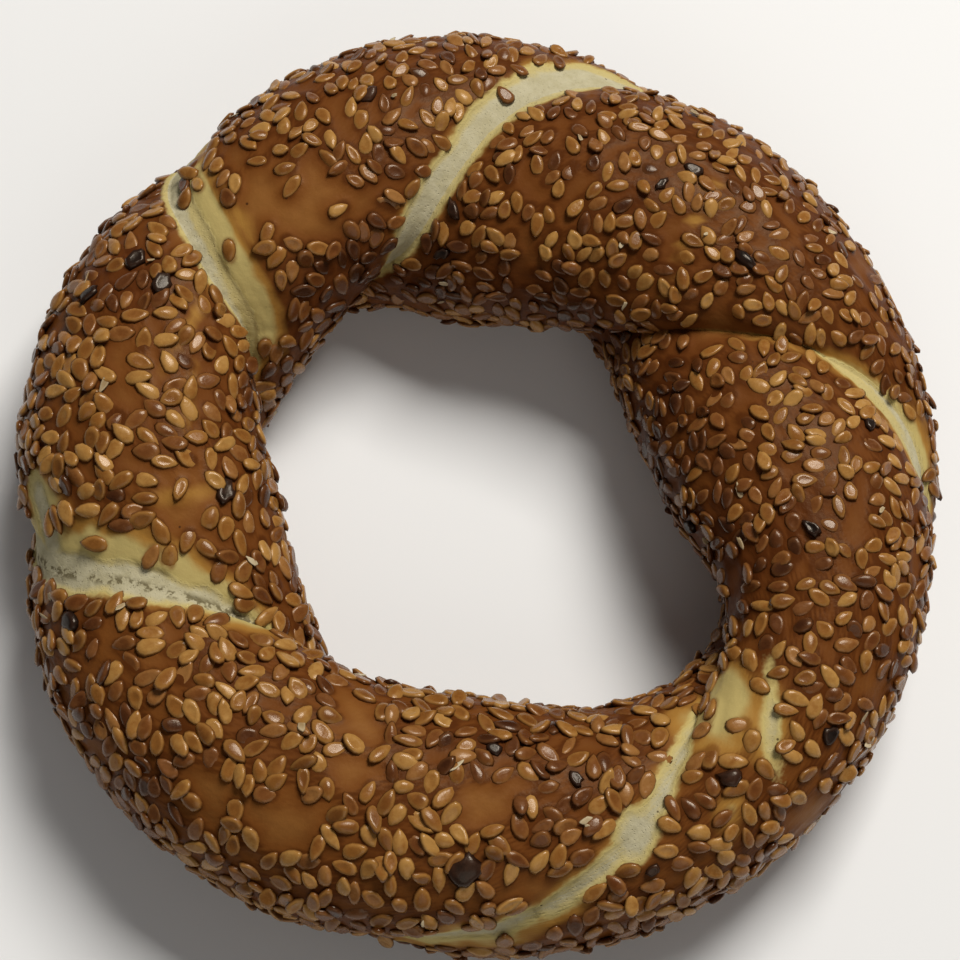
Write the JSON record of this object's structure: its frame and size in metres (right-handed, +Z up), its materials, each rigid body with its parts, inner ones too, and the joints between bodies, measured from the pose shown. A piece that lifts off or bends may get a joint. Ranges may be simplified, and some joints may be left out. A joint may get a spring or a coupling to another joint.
{
  "type": "simit",
  "caption": "Bread ring of thick dough twisted round itself, with a glazed brown crust, pale cracks along its seams and a dense coat of sesame seeds.",
  "frame": {"origin": "centre of the ring's bounding box, on the flat base that rests on the table", "axes": "+Z up out of the base, along the axis of the hole; X and Y in the plane of the ring"},
  "size_m": [0.123, 0.1262, 0.0305],
  "materials": {
    "crust": "baked crust with a thin syrup glaze, pale where the dough has torn",
    "sesame": "toasted sesame seeds under a thin glaze",
    "burnt_seed": "burnt seeds and specks, slightly glossy"
  },
  "bodies": {
    "root": {"bread_ring": "crust"}
  },
  "joints": []
}
